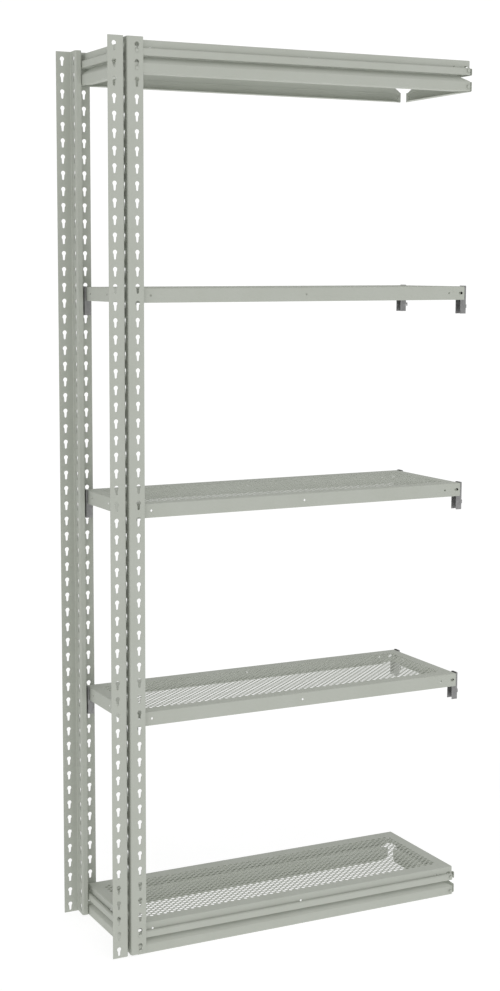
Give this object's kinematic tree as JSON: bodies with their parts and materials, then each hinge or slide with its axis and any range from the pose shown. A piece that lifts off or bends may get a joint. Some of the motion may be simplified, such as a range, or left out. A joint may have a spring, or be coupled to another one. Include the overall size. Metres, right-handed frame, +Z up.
{
  "type": "boltless steel shelving bay",
  "caption": "Add-on bay of boltless steel shelving: two keyhole posts at one end, beam rings at floor and top, and perforated box-edge decks.",
  "frame": {"origin": "on the floor, at the middle of the plan (bottom centre of the bounding box)", "axes": "+X along the shelves, away from the posts; +Y from the front to the rear; +Z up"},
  "size_m": [0.9826, 0.3218, 2.1371],
  "materials": {
    "paint": "satin powder coat, pale greenish grey",
    "clip_steel": "dull zinc-plated pressed steel"
  },
  "bodies": {
    "frame": {"front_post": "paint", "rear_post": "paint", "bottom_front_beam": "paint", "bottom_rear_beam": "paint", "bottom_left_beam": "paint", "bottom_right_beam": "paint", "top_front_beam": "paint", "top_rear_beam": "paint", "top_left_beam": "paint", "top_right_beam": "paint", "bottom_beam_rivets": "paint", "top_beam_rivets": "paint"},
    "bottom_shelf": {"bottom_deck": "paint"},
    "top_shelf": {"top_deck": "paint"},
    "shelf_2": {"shelf_2_deck": "paint", "shelf_2_clip_front_left": "clip_steel", "shelf_2_clip_front_right": "clip_steel", "shelf_2_clip_rear_left": "clip_steel", "shelf_2_clip_rear_right": "clip_steel"},
    "shelf_3": {"shelf_3_deck": "paint", "shelf_3_clip_front_left": "clip_steel", "shelf_3_clip_front_right": "clip_steel", "shelf_3_clip_rear_left": "clip_steel", "shelf_3_clip_rear_right": "clip_steel"},
    "shelf_4": {"shelf_4_deck": "paint", "shelf_4_clip_front_left": "clip_steel", "shelf_4_clip_front_right": "clip_steel", "shelf_4_clip_rear_left": "clip_steel", "shelf_4_clip_rear_right": "clip_steel"}
  },
  "joints": [
    {"name": "bottom_shelf_lift", "type": "slide", "parent": "frame", "child": "bottom_shelf", "axis": [0, 0, 1], "range_m": [0, 0.06]},
    {"name": "shelf_2_lift", "type": "slide", "parent": "frame", "child": "shelf_2", "axis": [0, 0, 1], "range_m": [0, 0.016]},
    {"name": "shelf_3_lift", "type": "slide", "parent": "frame", "child": "shelf_3", "axis": [0, 0, 1], "range_m": [0, 0.016]},
    {"name": "shelf_4_lift", "type": "slide", "parent": "frame", "child": "shelf_4", "axis": [0, 0, 1], "range_m": [0, 0.016]},
    {"name": "top_shelf_lift", "type": "slide", "parent": "frame", "child": "top_shelf", "axis": [0, 0, 1], "range_m": [0, 0.06]}
  ]
}
